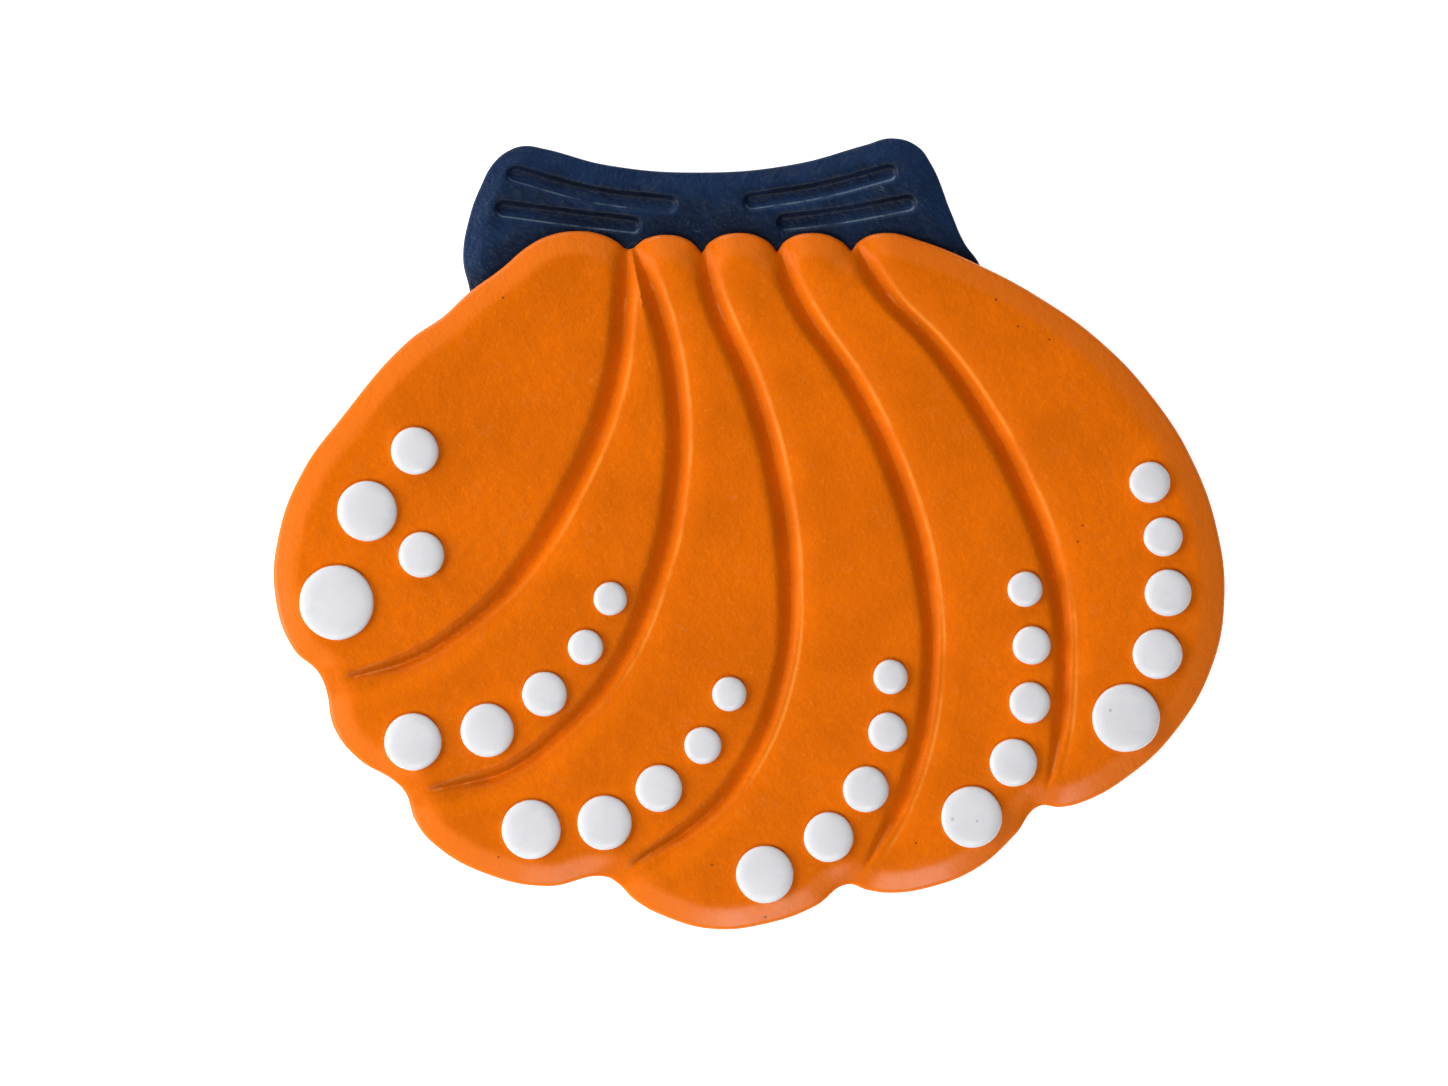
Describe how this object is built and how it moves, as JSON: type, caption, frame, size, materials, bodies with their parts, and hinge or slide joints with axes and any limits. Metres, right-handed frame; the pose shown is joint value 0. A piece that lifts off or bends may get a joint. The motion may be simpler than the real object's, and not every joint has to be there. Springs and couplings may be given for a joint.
{
  "type": "moulded rubber scallop shell plaque",
  "caption": "Flat scallop-shell plaque moulded in soft rubber, with rounded ribs, a lower hinge band with blind slots, and raised round dots along the lobes.",
  "frame": {"origin": "middle of the flat back, under the centre of the outline's bounding box", "axes": "+X to the right across the ribs, +Y towards the hinge band, +Z out of the moulded face"},
  "size_m": [0.0998, 0.0831, 0.0068],
  "materials": {
    "orange_rubber": "satin, with fine pinholes and dust",
    "navy_rubber": "matt, chalky and mottled",
    "white_rubber": "satin"
  },
  "bodies": {
    "root": {"shell_body": "orange_rubber", "hinge_band": "navy_rubber", "rib1_dot1": "white_rubber", "rib1_dot2": "white_rubber", "rib1_dot3": "white_rubber", "rib1_dot4": "white_rubber", "rib2_dot1": "white_rubber", "rib2_dot2": "white_rubber", "rib2_dot3": "white_rubber", "rib2_dot4": "white_rubber", "rib2_dot5": "white_rubber", "rib3_dot1": "white_rubber", "rib3_dot2": "white_rubber", "rib3_dot3": "white_rubber", "rib3_dot4": "white_rubber", "rib3_dot5": "white_rubber", "rib4_dot1": "white_rubber", "rib4_dot2": "white_rubber", "rib4_dot3": "white_rubber", "rib4_dot4": "white_rubber", "rib4_dot5": "white_rubber", "rib5_dot1": "white_rubber", "rib5_dot2": "white_rubber", "rib5_dot3": "white_rubber", "rib5_dot4": "white_rubber", "rib5_dot5": "white_rubber", "rib6_dot1": "white_rubber", "rib6_dot2": "white_rubber", "rib6_dot3": "white_rubber", "rib6_dot4": "white_rubber", "rib6_dot5": "white_rubber"}
  },
  "joints": []
}
